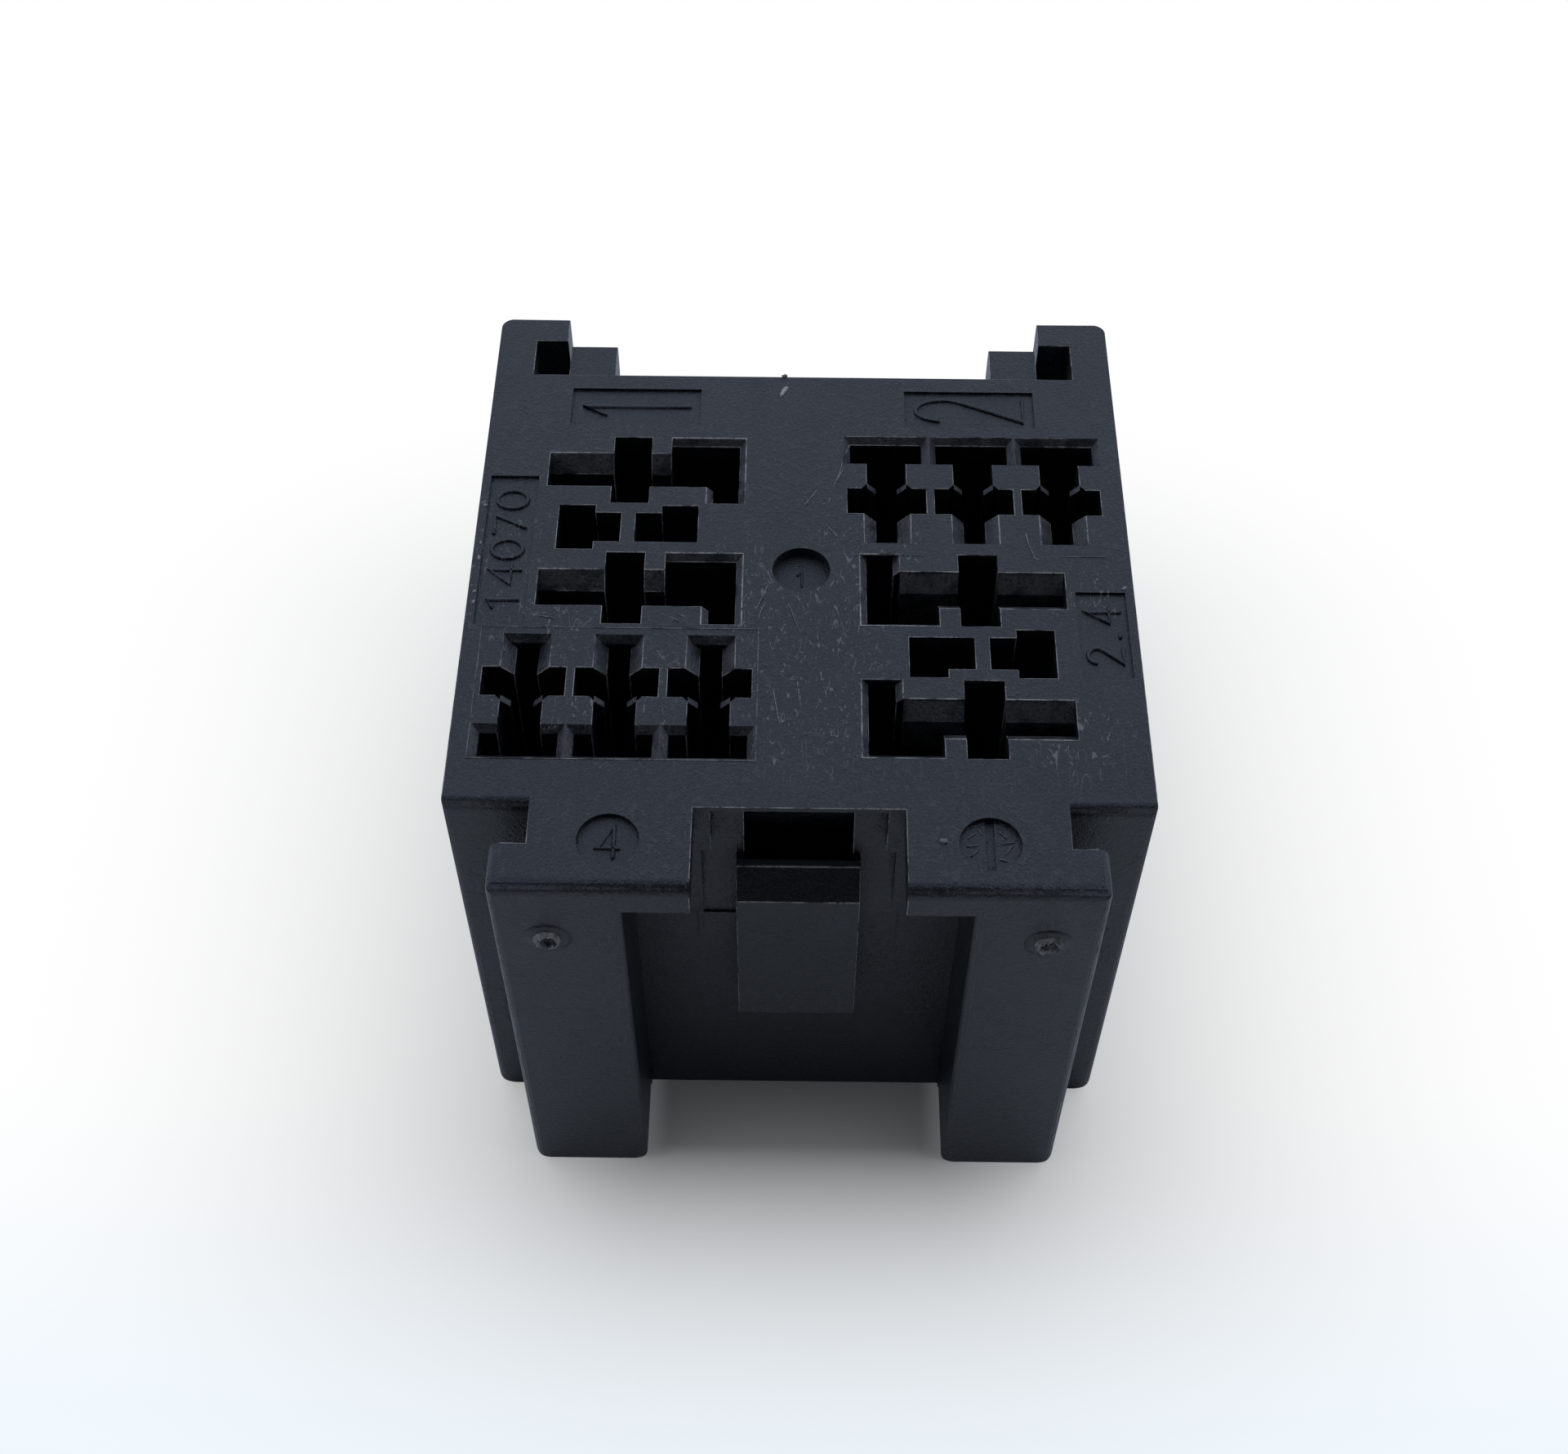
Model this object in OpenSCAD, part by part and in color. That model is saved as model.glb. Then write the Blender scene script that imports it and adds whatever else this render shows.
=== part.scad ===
// Relay socket: one moulded housing that carries two plug-in relays side by side.
// Crimped terminals go into the shaped cavities of the top face, the relays push
// into the two bays underneath. T-shaped rails on the front slide into the C-shaped
// channels at the back of the next socket, so that sockets can be hung in a row.
// The part stands on the rim of its bays, +Z up, with the rails towards -Y.

/* [Body] */
// Width of the body over its side walls
body_w = 40; // [38.5:0.1:44]
// Depth of the body from the front wall to the back wall
body_d = 34.05; // [33.5:0.05:38]
// Height of the whole housing
body_h = 33.3; // [30:0.1:38]
// Rounding of the lower edges of the side walls
foot_r = 1.2; // [0.4:0.1:1.8]
// Rounding of the upright corners at the back
back_r = 0.8; // [0.4:0.1:1.4]
// Rounding of the upright corners at the front
front_r = 0.4; // [0.2:0.1:0.8]
// Rounding of the upper front edge beside the rails
deck_r = 0.7; // [0.3:0.1:0.9]

/* [Front rails] */
// Distance from the centre line to the inner face of a rail
rail_inner = 9.7; // [9:0.1:11]
// Width of the neck that joins a rail to the body
neck_w = 5.35; // [4.5:0.05:6.5]
// Depth of the groove behind the lip of a rail
neck_d = 2.5; // [2.2:0.1:3]
// How far the lip reaches out past the neck
lip_w = 2.05; // [1.5:0.05:2.4]
// Thickness of a rail's lip
lip_t = 3; // [2.4:0.1:3.4]
// Thickness of the cap that closes the top of a rail inwards
cap_t = 2.3; // [1.5:0.1:3]
// Distance from the centre line to the inner end of a cap
cap_inner = 5.95; // [5.6:0.05:7]
// Rounding along the upper front edge of a rail
rail_top_r = 0.8; // [0.4:0.1:1.2]
// Rounding of the lower corners of a rail
rail_foot_r = 1.1; // [0.4:0.1:1.6]
// Rounding along the outer upright front edge of a rail
rail_edge_r = 0.5; // [0.2:0.1:0.9]
// Rounding along the inner upright front edge of a rail
inner_edge_r = 0.2; // [0.1:0.1:0.6]
// Rounding along the upper outer edge of a rail's lip
lip_top_r = 0.7; // [0.3:0.1:0.9]

/* [Rear channels] */
// Play between a rail and the channel that takes it, on each side
rail_play = 0.45; // [0.2:0.05:0.7]
// Thickness of the lip that closes a channel
hook_t = 2; // [1.6:0.1:2.2]
// Play of a rail's lip in the depth of its channel
channel_play = 0.15; // [0.1:0.05:0.4]
// Width of the end stop beside a channel
stop_w = 3.05; // [2:0.05:4]
// Gap between the end stop and the lip of the channel, seen from above
stop_gap = 0.2; // [0.1:0.05:0.5]
// Height of the end stop
stop_h = 2.4; // [1.5:0.1:5]
// How far the end stop lies below the top face
stop_drop = 0.5; // [0.2:0.1:1.5]

/* [Catch] */
// Width of the catch between the rails
catch_w = 7.2; // [6:0.1:8]
// How far the catch stands out from the front wall
catch_t = 1.6; // [1.4:0.1:2.2]
// Height of the top of the catch above the foot
catch_top = 27.6; // [26:0.1:28]
// Height of the locking edge of the catch above the foot
catch_bottom = 13; // [10:0.1:18]
// Lead-in chamfer at the top of the catch
catch_lead = 1.5; // [0.8:0.05:1.6]
// How far the top of the catch falls towards the chamfer
catch_fall = 0.12; // [0.05:0.01:0.2]
// Width of the window over the catch
window_w = 6.3; // [5:0.1:6.6]
// Height of the window
window_h = 4.5; // [4.1:0.1:4.6]
// Depth of the window and of the pocket behind the catch
window_d = 2.7; // [2.2:0.1:2.8]
// How far the pocket reaches down behind the catch
pocket_drop = 6; // [2:0.5:8]
// Width of the frame plate round the catch
plate_w = 11.8; // [10.8:0.1:12.2]
// Height of the lower edge of the frame plate above the foot
plate_bottom = 18.8; // [17:0.1:20]
// How far the frame plate stands out from the wall between the rails
plate_t = 0.3; // [0.2:0.05:0.6]
// Thickness of the top face's edge over the hollow
deck_edge_t = 0.4; // [0.2:0.05:0.8]
// Width of the hollow between the posts under that edge
hollow_w = 10; // [8.6:0.1:10.2]
// Height of the lower end of the posts above the foot
post_bottom = 29; // [27:0.1:30]
// Width of the hollow below the posts
hollow_low_w = 11.2; // [10.4:0.1:11.4]
// Depth of that hollow at its upper end
hollow_d = 1.6; // [0.8:0.1:2]
// Height at which the hollow runs out
hollow_bottom = 22.5; // [21.5:0.1:24]
// Height of the small pad beside the catch
pad_h = 2.2; // [1:0.1:2.6]
// How far the pad stands out from the frame plate
pad_t = 0.15; // [0.1:0.05:0.5]

/* [Terminal cavities] */
// Distance from the centre line to the middle of a group of cavities
group_x = 10.7; // [10.6:0.05:10.9]
// Half the width of a wide cavity's column
column_half = 1.18; // [1:0.02:1.3]
// Half the length of a wide cavity's column
column_reach = 2.8; // [2.6:0.02:2.85]
// Half the width of a wide cavity's arm
arm_half = 1.42; // [1.2:0.02:1.6]
// Length of the outer arm from the middle of the group
arm_out = 5.2; // [4.6:0.05:5.4]
// Distance from the middle of the group to the key block
key_in = 2.45; // [2:0.05:2.8]
// Width of the key block
key_w = 4.7; // [4.2:0.05:4.8]
// Width of the key block's foot
key_foot_w = 2; // [1.4:0.05:2.4]
// Distance from the front wall to the point about which the second group is turned
group_turn_y = 16; // [15.95:0.01:16.1]
// Distance from the front wall to the middle of the inner wide cavity
inner_wide_y = 15.97; // [15.9:0.01:16.1]
// Distance between the two wide cavities of a group
wide_pitch = 9.68; // [9.6:0.01:9.9]
// Slope along the back edge of a wide cavity's arm
arm_slope = 0.95; // [0.5:0.05:1.2]
// Small chamfer round the mouths of the key blocks and troughs
mouth_chamfer = 0.4; // [0.2:0.05:0.42]
// Distance between neighbouring blade cavities
blade_pitch = 5.42; // [5.38:0.01:5.45]
// Width of a blade cavity's cross arms
cross_w = 4.9; // [4.4:0.05:5]
// Length of a blade cavity's cross arms
cross_d = 2.1; // [1.8:0.05:2.2]
// Distance from the front wall to the cross arms
cross_y = 7.72; // [7.6:0.02:7.8]
// Width of the blade slot above the cross arms
slot_w = 2.88; // [2.4:0.02:3.2]
// Length of the blade slot above the cross arms
slot_d = 2.48; // [2.2:0.02:2.6]
// Slope on each side of the blade slot
slot_slope = 0.78; // [0.4:0.02:0.9]
// Width of the neck below the cross arms
neck_slot_w = 2.45; // [2:0.05:2.6]
// Width of the trough in front of the neck
trough_w = 4.52; // [4.2:0.02:4.55]
// Length of the trough
trough_d = 1.6; // [1.3:0.05:1.8]
// Corner cut of the pads beside a neck
pad_corner = 0.35; // [0.2:0.05:0.4]
// Length of the guide nibs at the inner end of a neck
nib_len = 0.4; // [0.3:0.05:0.45]
// Distance from the front wall to the trough
trough_y = 3.65; // [3.4:0.05:3.7]
// Width of a small cavity's stepped half
small_step_w = 1.61; // [1.3:0.01:1.7]
// Width of a small cavity's full half
small_full_w = 2.25; // [1.8:0.05:2.4]
// Land between the two small cavities
small_land = 0.9; // [0.7:0.05:1.2]
// Width of the step at the small cavities
small_step_d = 0.62; // [0.3:0.02:0.7]
// Length of a small cavity
small_d = 3.6; // [3.3:0.05:3.66]
// Middle of the small cavities from the front wall
small_y = 20.82; // [20.78:0.01:20.88]

/* [Relay bays] */
// Thickness of the outer walls of a bay
bay_wall = 1.3; // [1:0.1:1.6]
// Thickness of the wall between the two bays
bay_divider = 2; // [1.6:0.1:3]
// Depth of a bay from the foot to its floor
bay_depth = 10.5; // [8:0.1:12]
// Thickness of a bay's floor
floor_t = 2; // [1.5:0.1:3]
// Thickness of a relay's wide blade, with play
blade_t = 1.2; // [0.9:0.05:1.6]
// Width of a relay's wide blade, with play
blade_w = 9.8; // [9:0.1:10]
// Width of a relay's narrow blade, with play
narrow_blade_w = 6.6; // [6:0.1:6.8]
// Width of a relay's coil blade, with play
coil_blade_w = 3; // [2.6:0.1:3.2]
// Rounding in the corners of a bay
bay_r = 0.8; // [0.4:0.1:1.5]
// Width of the guide ribs in a bay
rib_w = 1.4; // [1:0.1:2]
// How far the guide ribs stand out
rib_t = 0.5; // [0.3:0.1:0.8]

/* [Marks] */
// Depth of the sunk label fields on the top face
mark_depth = 0.18; // [0.1:0.02:0.24]
// Diameter of the gate marks on the rails
gate_d = 2; // [1.4:0.1:2.4]
// Depth of the gate marks
gate_depth = 0.25; // [0.15:0.05:0.5]
// Diameter of the stub in the middle of a gate mark
gate_stub_d = 1.1; // [0.6:0.1:1.2]
// Distance from the centre line to a gate mark
gate_x = 14.05; // [13:0.05:15]
// Height of the gate marks above the foot
gate_z = 28.2; // [24:0.1:29]
// Diameter of the sunk round marks on the top face
round_mark_d = 3.5; // [2:0.1:3.8]
// Depth of the round marks on the caps
round_mark_depth = 0.3; // [0.1:0.05:0.4]
// Distance from the centre line to the round mark on a cap
round_mark_x = 10.55; // [9.5:0.05:11.5]
// How far the middle of that mark lies before the front wall
round_mark_y = 2.25; // [2:0.05:2.6]
// Distance from the front wall to the round mark in the middle
middle_mark_y = 17.5; // [12:0.1:24]
// Depth of the round mark in the middle
middle_mark_depth = 0.7; // [0.3:0.1:0.8]
// Width of the slot across the right-hand round mark
mark_slot_w = 0.5; // [0.3:0.1:0.8]
// Length of a group's label field
label_w = 8.3; // [6:0.1:10]
// Width of a group's label field
label_d = 3.2; // [2:0.1:3.4]
// Distance from the back wall to the label fields
label_gap = 1.25; // [1:0.05:1.4]
// Width of the label fields beside the cavities
side_label_w = 3; // [2:0.1:3.2]
// Length of the left-hand field
left_label_d = 12; // [8:0.1:14]
// Length of the right-hand field
right_label_d = 6.5; // [4:0.1:8]
// Distance from the front wall to the far end of the left-hand field
left_label_y = 25; // [20:0.1:28]
// Distance from the front wall to the far end of the right-hand field
right_label_y = 15.95; // [12:0.05:18]
// Distance from the side wall to those fields
side_label_gap = 0.55; // [0.5:0.05:0.8]

/* [Hidden] */
$fn = 48;
EPS = 0.02;
half_w = body_w / 2;
rail_out = neck_d + lip_t;
neck_out = rail_inner + neck_w;
lip_outer = neck_out + lip_w;
channel_outer = lip_outer + rail_play;
channel_d = lip_t + channel_play;
hook_inner = neck_out + rail_play;
arm_d = channel_d + hook_t;
middle_y = (body_d + arm_d - rail_out) / 2;
outer_wide_y = inner_wide_y + wide_pitch;
chamber_z = bay_depth + floor_t;
lead_h = arm_slope + slot_slope;
slot_core = slot_w - 2 * slot_slope;

// A block from x0 to x1 and y0 to y1, between the heights z0 and z1.
module block(x0, x1, y0, y1, z0, z1) {
    translate([x0, y0, z0]) cube([x1 - x0, y1 - y0, z1 - z0]);
}

// A shaft of the terminal chambers, from the floor of the bays up through the top face.
module shaft(x0, x1, y0, y1) {
    block(x0, x1, y0, y1, chamber_z, body_h + EPS);
}

// Outline of a sloped mouth across one direction: 45 degrees on each side, up to the top face.
module mouth_profile(a, b, run_a, run_b) {
    polygon([
        [a, body_h - lead_h], [b, body_h - lead_h],
        [b, body_h - run_b], [b + run_b + EPS, body_h + EPS],
        [a - run_a - EPS, body_h + EPS], [a, body_h - run_a]
    ]);
}

// A sloped mouth over a shaft, with its own run on each of the four sides.
module mouth(x0, x1, y0, y1, left = 0, right = 0, front = 0, back = 0) {
    intersection() {
        translate([0, y1 + back + EPS, 0])
            rotate([90, 0, 0])
                linear_extrude(y1 - y0 + front + back + 2 * EPS)
                    mouth_profile(x0, x1, left, right);
        translate([x0 - left - EPS, 0, 0])
            rotate([90, 0, 90])
                linear_extrude(x1 - x0 + left + right + 2 * EPS)
                    mouth_profile(y0, y1, front, back);
    }
}

// A wide keyed cavity: an upright column, an arm across it and a key block with its foot.
module wide_cavity(y) {
    key_out = key_in + key_w;
    foot_in = key_out - key_foot_w;
    shaft(-column_half, column_half, y - column_reach, y + column_reach);
    shaft(-arm_out, key_in + EPS, y - arm_half, y + arm_half - arm_slope);
    shaft(key_in, key_out - mouth_chamfer, y - arm_half, y + column_reach - mouth_chamfer);
    shaft(foot_in, key_out - mouth_chamfer, y - column_reach, y);
    mouth(-arm_out, key_in, y - arm_half, y + arm_half - arm_slope, back = arm_slope);
    mouth(key_in, key_out - mouth_chamfer, y - arm_half, y + column_reach - mouth_chamfer,
        right = mouth_chamfer, back = mouth_chamfer);
    mouth(foot_in, key_out - mouth_chamfer, y - column_reach, y,
        left = mouth_chamfer, right = mouth_chamfer);
}

// One blade cavity: cross arms, a sloped slot behind them, a neck and a trough in front.
module blade_cavity(x) {
    cross_end = cross_y + cross_d;
    slot_end = cross_end + slot_d - mouth_chamfer;
    neck_start = trough_y + trough_d;
    neck_half = neck_slot_w / 2;
    core_half = slot_core / 2;
    translate([x, 0, 0]) {
        shaft(-cross_w / 2, cross_w / 2, cross_y, cross_end);
        shaft(-core_half, core_half, cross_y - nib_len, slot_end);
        mouth(-core_half, core_half, cross_end - EPS, slot_end,
            left = slot_slope, right = slot_slope, back = mouth_chamfer);
        mouth(-core_half, core_half, cross_y - nib_len, cross_y,
            left = neck_half - core_half, right = neck_half - core_half);
        shaft(-neck_half, neck_half, neck_start - EPS, cross_y - nib_len);
        shaft(-trough_w / 2, trough_w / 2, trough_y, neck_start);
        mouth(-trough_w / 2, trough_w / 2, trough_y, neck_start, left = mouth_chamfer,
            right = mouth_chamfer, front = mouth_chamfer, back = mouth_chamfer);
        for (side = [-1, 1]) {
            translate([0, 0, chamber_z])
                linear_extrude(body_h - chamber_z + EPS)
                    polygon([
                        [side * neck_half, cross_y - pad_corner],
                        [side * neck_half, cross_y + EPS],
                        [side * (neck_half + pad_corner), cross_y + EPS]
                    ]);
        }
    }
}

// The pair of small cavities between the two wide ones.
module small_cavities() {
    near = small_y - small_d / 2;
    far = small_y + small_d / 2;
    land = small_land / 2;
    step_end = land + small_step_w;
    full_end = step_end + small_full_w;
    shaft(-step_end - EPS, -land, near + small_step_d, far - small_step_d);
    shaft(-full_end, -step_end, near, far);
    shaft(land, step_end + EPS, near + small_step_d, far - small_step_d);
    shaft(step_end, full_end, near + small_step_d, far);
}

// A straight slot through the floor of a bay, for one blade of a relay.
module blade_slot(x, y, w, d) {
    block(x - w / 2, x + w / 2, y - d / 2, y + d / 2, bay_depth - EPS, chamber_z + EPS);
}

// All cavities of one relay, with the blade slots that lead into its bay.
module terminal_group() {
    blade_mid = (trough_y + cross_y + cross_d + slot_d) / 2;
    coil_x = (small_land + small_step_w + small_full_w) / 2;
    for (y = [inner_wide_y, outer_wide_y]) {
        wide_cavity(y);
        blade_slot(0, y, blade_w, blade_t);
    }
    for (i = [-1, 0, 1]) {
        blade_cavity(i * blade_pitch);
        blade_slot(i * blade_pitch, blade_mid, blade_t, narrow_blade_w);
    }
    small_cavities();
    for (side = [-1, 1]) {
        blade_slot(side * coil_x, small_y, coil_blade_w, blade_t);
    }
}

// Both groups: the second is the first, turned half round about the middle of the socket.
module terminal_cavities() {
    translate([-group_x, 0, 0]) terminal_group();
    translate([group_x, 2 * group_turn_y, 0]) rotate([0, 0, 180]) terminal_group();
}

// The waste beside a rounded edge that runs upwards from the origin, into +X and +Y.
module edge_waste(r, len) {
    difference() {
        translate([-EPS, -EPS, -EPS]) cube([r + EPS, r + EPS, len + 2 * EPS]);
        translate([r, r, -2 * EPS]) cylinder(r = r, h = len + 4 * EPS);
    }
}

// The same waste for an edge along the depth, at the foot and on the left-hand side.
module foot_waste(r, len) {
    translate([0, len, 0]) rotate([90, 0, 0]) edge_waste(r, len);
}

// The mirrored pair of something that is drawn on the right-hand side.
module both_sides() {
    children();
    mirror([1, 0, 0]) children();
}

// One bay, open at the foot, with rounded upright corners and guide ribs on its side walls.
module relay_bay() {
    near = bay_wall + plate_t;
    far = body_d - bay_wall;
    left = bay_divider / 2;
    right = half_w - bay_wall;
    rib_inset = (far - near) / 4;
    difference() {
        block(left, right, near, far, -EPS, bay_depth);
        for (x = [left, right], y = [near, far]) {
            translate([x, y, -EPS])
                mirror([x == right ? 1 : 0, 0, 0])
                    mirror([0, y == far ? 1 : 0, 0])
                        edge_waste(bay_r, bay_depth + EPS);
        }
        for (y = [near + rib_inset, far - rib_inset]) {
            block(left - EPS, left + rib_t, y - rib_w / 2, y + rib_w / 2, -2 * EPS, bay_depth + EPS);
            block(right - rib_t, right + EPS, y - rib_w / 2, y + rib_w / 2, -2 * EPS, bay_depth + EPS);
        }
    }
}

// The waste along a rounded upper edge that runs from the origin to the right, at the front.
module top_waste(r, len) {
    rotate([0, 90, 0]) edge_waste(r, len);
}

// The block that holds the terminals and the bays, with the front wall worked out.
module body_block() {
    difference() {
        block(-half_w, half_w, 0, body_d, 0, body_h);
        front_recess();
        both_sides()
            translate([neck_out + EPS, 0, body_h])
                top_waste(deck_r, half_w - neck_out);
        both_sides()
            translate([-half_w, 0, 0])
                edge_waste(front_r, body_h);
    }
}

// A rail: neck, lip and the cap that reaches in at its top.
module front_rail() {
    difference() {
        union() {
            block(rail_inner, neck_out, -neck_d - EPS, EPS, 0, body_h);
            block(rail_inner, lip_outer, -rail_out, -neck_d, 0, body_h);
            block(cap_inner, rail_inner + EPS, -rail_out, EPS, body_h - cap_t, body_h);
        }
        translate([0, -rail_out, body_h])
            top_waste(rail_top_r, lip_outer);
        translate([rail_inner, -rail_out, 0])
            edge_waste(inner_edge_r, body_h - cap_t - EPS);
        translate([lip_outer, -rail_out, 0])
            mirror([1, 0, 0])
                edge_waste(rail_edge_r, body_h);
        translate([lip_outer, -rail_out, body_h])
            mirror([1, 0, 0])
                mirror([0, 0, 1])
                    foot_waste(lip_top_r, lip_t);
        translate([rail_inner, -rail_out, 0])
            foot_waste(rail_foot_r, rail_out);
        translate([lip_outer, -rail_out, 0])
            mirror([1, 0, 0])
                foot_waste(rail_foot_r, rail_out - neck_d);
        gate_mark();
    }
}

// The round gate mark on the front of a rail: a dimple round the broken stub.
module gate_mark() {
    translate([gate_x, gate_depth - rail_out, gate_z])
        rotate([90, 0, 0])
            difference() {
                cylinder(d = gate_d, h = gate_depth + EPS);
                translate([0, 0, -EPS]) cylinder(d = gate_stub_d, h = gate_depth);
            }
}

// A channel at the back: an arm with a lip turned inwards, and the end stop beside it.
module rear_channel() {
    back = body_d + arm_d;
    stop_top = body_h - stop_drop;
    block(channel_outer, half_w, body_d - EPS, back, 0, body_h);
    block(hook_inner, half_w, back - hook_t, back, 0, body_h);
    block(hook_inner - stop_gap - stop_w, hook_inner - stop_gap, body_d - EPS, body_d + channel_d,
        stop_top - stop_h, stop_top);
}

// The catch between the rails: a top that falls a little to the front, a lead-in chamfer
// and a sharp locking edge below.
module latch_catch() {
    translate([-catch_w / 2, 0, 0])
        rotate([90, 0, 90])
            linear_extrude(catch_w)
                polygon([
                    [plate_t, catch_bottom], [-catch_t, catch_bottom],
                    [-catch_t, catch_top - catch_fall - catch_lead],
                    [catch_lead - catch_t, catch_top - catch_fall],
                    [plate_t, catch_top], [hollow_d, catch_top]
                ]);
}

// A hollow of the given width whose back leans away from the front wall as it rises.
module leaning_hollow(w) {
    hollow_top = body_h - deck_edge_t;
    translate([-w / 2, 0, 0])
        rotate([90, 0, 90])
            linear_extrude(w)
                polygon([
                    [-EPS, hollow_bottom], [0, hollow_bottom],
                    [hollow_d, hollow_top], [-EPS, hollow_top]
                ]);
}

// What is taken out of the front wall: the wall between the rails lies behind the frame
// plate, and the plate runs back into a hollow, wide below its two posts, narrow between.
module front_recess() {
    block(-rail_inner, rail_inner, -EPS, plate_t, -EPS, plate_bottom);
    both_sides()
        block(plate_w / 2, rail_inner, -EPS, plate_t, -EPS, hollow_bottom);
    leaning_hollow(hollow_w);
    intersection() {
        leaning_hollow(hollow_low_w);
        block(-hollow_low_w / 2, hollow_low_w / 2, -EPS, hollow_d, hollow_bottom, post_bottom);
    }
}

// The small pad on the frame plate, to the left of the catch.
module catch_pad() {
    block(-hollow_low_w / 2, EPS - catch_w / 2, -pad_t, plate_t, hollow_bottom - pad_h, hollow_bottom);
}

// The window above the catch and the pocket that runs down behind it.
module latch_window() {
    window_top = catch_top + window_h;
    block(-window_w / 2, window_w / 2, -EPS, window_d, catch_top, window_top);
    block(-window_w / 2, window_w / 2, plate_t, window_d, catch_top - pocket_drop, window_top);
}

// The sunk label fields of the top face.
module label_fields() {
    label_y = body_d - label_gap;
    low = body_h - mark_depth;
    top = body_h + EPS;
    both_sides()
        block(group_x - label_w / 2, group_x + label_w / 2, label_y - label_d, label_y, low, top);
    block(side_label_gap - half_w, side_label_gap + side_label_w - half_w,
        left_label_y - left_label_d, left_label_y, low, top);
    block(half_w - side_label_gap - side_label_w, half_w - side_label_gap,
        right_label_y - right_label_d, right_label_y, low, top);
}

// One sunk round mark in the top face.
module round_mark(x, y, depth) {
    translate([x, y, body_h - depth])
        cylinder(d = round_mark_d, h = depth + EPS);
}

// The round marks: one on each cap, a deeper one in the middle, and a slot across the right one.
module round_marks() {
    both_sides()
        round_mark(round_mark_x, -round_mark_y, round_mark_depth);
    round_mark(0, middle_mark_y, middle_mark_depth);
    translate([round_mark_x, -round_mark_y, body_h - round_mark_depth])
        block(-mark_slot_w / 2, mark_slot_w / 2, -round_mark_d / 2, round_mark_d / 2,
            -mark_depth, EPS);
}

module housing() {
    back = body_d + arm_d;
    color([0.13, 0.135, 0.15])
        translate([0, -middle_y, 0])
            difference() {
                union() {
                    body_block();
                    both_sides() {
                        front_rail();
                        rear_channel();
                    }
                    latch_catch();
                    catch_pad();
                }
                terminal_cavities();
                both_sides() {
                    relay_bay();
                    translate([-half_w, 0, 0]) foot_waste(foot_r, back);
                    translate([-half_w, back, 0]) mirror([0, 1, 0]) edge_waste(back_r, body_h);
                }
                latch_window();
                label_fields();
                round_marks();
            }
}

housing();
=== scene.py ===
import math

import bmesh
import bpy
from mathutils import Matrix, Vector, noise


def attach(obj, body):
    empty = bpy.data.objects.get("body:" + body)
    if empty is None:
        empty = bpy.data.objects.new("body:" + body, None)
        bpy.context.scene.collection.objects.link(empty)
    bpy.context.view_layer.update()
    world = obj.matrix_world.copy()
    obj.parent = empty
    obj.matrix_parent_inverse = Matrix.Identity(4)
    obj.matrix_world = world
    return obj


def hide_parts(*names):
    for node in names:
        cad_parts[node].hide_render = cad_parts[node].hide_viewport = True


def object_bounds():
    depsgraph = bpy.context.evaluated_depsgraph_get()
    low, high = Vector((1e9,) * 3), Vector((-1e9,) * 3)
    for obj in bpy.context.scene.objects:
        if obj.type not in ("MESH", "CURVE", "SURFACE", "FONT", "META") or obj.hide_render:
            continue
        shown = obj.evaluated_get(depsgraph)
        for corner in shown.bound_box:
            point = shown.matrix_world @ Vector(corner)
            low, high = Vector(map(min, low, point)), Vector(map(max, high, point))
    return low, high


# without a seed of its own, noise_vector takes one from the clock
noise.seed_set(11)

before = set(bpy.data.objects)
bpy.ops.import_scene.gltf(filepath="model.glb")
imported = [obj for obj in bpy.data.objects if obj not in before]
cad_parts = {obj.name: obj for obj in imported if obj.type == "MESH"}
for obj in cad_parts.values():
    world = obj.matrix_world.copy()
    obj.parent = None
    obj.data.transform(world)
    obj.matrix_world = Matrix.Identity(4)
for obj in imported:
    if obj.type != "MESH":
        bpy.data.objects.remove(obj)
cadLow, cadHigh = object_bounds()
millimetre = 0.001
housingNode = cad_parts["housing"]
wallY = cadLow.y + 5.5 * millimetre
topZ = cadHigh.z
# height of the top face in millimetres, for the forms that lie on it
faceHeight = 33.3
print("frame loaded")


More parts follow.
